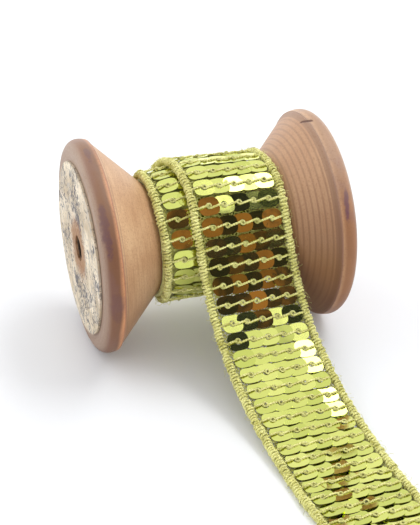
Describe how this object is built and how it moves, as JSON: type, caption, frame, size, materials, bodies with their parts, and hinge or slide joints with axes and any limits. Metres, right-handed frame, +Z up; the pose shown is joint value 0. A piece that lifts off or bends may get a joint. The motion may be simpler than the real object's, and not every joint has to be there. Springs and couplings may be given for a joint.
{
  "type": "sequin trim on a wooden spool",
  "caption": "Flat lime sequin trim with corded edges, wound on a turned wooden spool that lies on its side, the loose end run out flat over the table.",
  "frame": {"origin": "on the table, under the middle of the box round the spool and the loose end", "axes": "+X along the spool's axis towards its plain end, -Y the way the loose end runs out, +Z up"},
  "size_m": [0.072, 0.1484, 0.06],
  "materials": {
    "turned_wood": "bare turned wood, satin, worn and darker at the rims",
    "aged_paper": "aged cream paper with a faded grey-blue speckle, no print",
    "sequins": "lime metallised film, mirror-like",
    "trim_thread": "pale gold twisted thread, cord and net"
  },
  "bodies": {
    "root": {"spool": "turned_wood", "paper_label": "aged_paper", "trim_roll": "sequins", "trim_tail": "sequins"}
  },
  "joints": []
}
